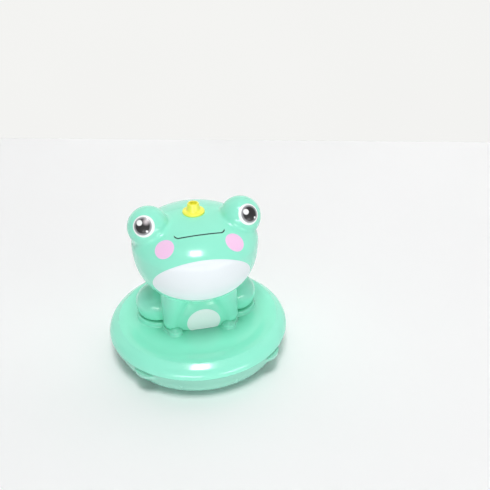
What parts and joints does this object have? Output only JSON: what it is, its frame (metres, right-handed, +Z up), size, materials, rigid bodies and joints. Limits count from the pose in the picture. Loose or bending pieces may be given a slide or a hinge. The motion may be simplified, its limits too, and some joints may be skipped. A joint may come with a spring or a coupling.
{
  "type": "bath toy water sprayer",
  "caption": "Floating bath toy: a big-headed frog on a round two-shell float, with a motor pump that sprays water from a nozzle on its head.",
  "frame": {"origin": "middle of the float's flat underside", "axes": "+Z up, the frog faces -Y, +X towards the frog's left side"},
  "size_m": [0.1086, 0.1086, 0.1032],
  "materials": {
    "mint_abs": "glossy moulded ABS, pale mint green",
    "hull_abs": "glossy moulded ABS, mint green",
    "yellow_abs": "glossy moulded plastic, lemon yellow",
    "inner_plastic": "plain moulded plastic, off-white",
    "dark_plastic": "plain moulded plastic, black",
    "seal_rubber": "soft moulded seal",
    "hose_silicone": "translucent silicone hose",
    "steel": "nickel-plated steel",
    "brass": "brass and copper",
    "ferrite": "ferrite magnet",
    "cell_can": null,
    "board": "glass-fibre board with green lacquer",
    "lead_pvc": "red PVC insulation"
  },
  "bodies": {
    "float": {"float_upper_shell": "mint_abs", "float_lower_shell": "hull_abs", "hull_seal": "seal_rubber", "hull_screws": "steel", "frog_body": "mint_abs", "body_screws": "steel", "head_front_shell": "mint_abs", "head_rear_shell": "mint_abs", "nozzle_socket": "inner_plastic", "riser_hose": "hose_silicone", "pump_housing": "inner_plastic", "pump_cover": "inner_plastic", "intake_strainer": "dark_plastic", "shaft_seal": "seal_rubber", "motor_can": "steel", "motor_end_cap": "inner_plastic", "motor_terminals": "brass", "motor_magnets": "ferrite", "motor_bracket": "inner_plastic", "bracket_screws": "steel", "front_cell": "cell_can", "rear_cell": "cell_can", "negative_contact": "steel", "positive_contact": "steel", "bridge_contact": "steel", "contact_springs": "steel", "control_board": "board", "board_screws": "steel", "push_switch": "dark_plastic", "button_seal": "seal_rubber", "sensor_pins": "steel", "battery_leads": "lead_pvc", "motor_leads": "lead_pvc", "sensor_leads": "lead_pvc"},
    "nozzle": {"nozzle": "yellow_abs", "nozzle_seal": "seal_rubber"},
    "rotor": {"impeller": "inner_plastic", "motor_shaft": "steel", "motor_armature": "brass"},
    "button": {"power_button": "yellow_abs", "switch_plunger": "inner_plastic"},
    "door": {"battery_door": "hull_abs", "door_seal": "seal_rubber", "door_screws": "steel"}
  },
  "joints": [
    {"name": "nozzle_pull", "type": "slide", "parent": "float", "child": "nozzle", "axis": [0, 0, 1], "range_m": [0, 0.006]},
    {"name": "rotor_spin", "type": "hinge", "parent": "float", "child": "rotor", "pos_m": [0, -0.0045, 0.01], "axis": [0, 0, 1], "continuous": true},
    {"name": "button_press", "type": "slide", "parent": "float", "child": "button", "axis": [0, 0, 1], "range_m": [0, 0.0008], "stiffness_N_per_m": 600},
    {"name": "door_off", "type": "slide", "parent": "float", "child": "door", "axis": [0, 0, -1], "range_m": [0, 0.012]}
  ]
}
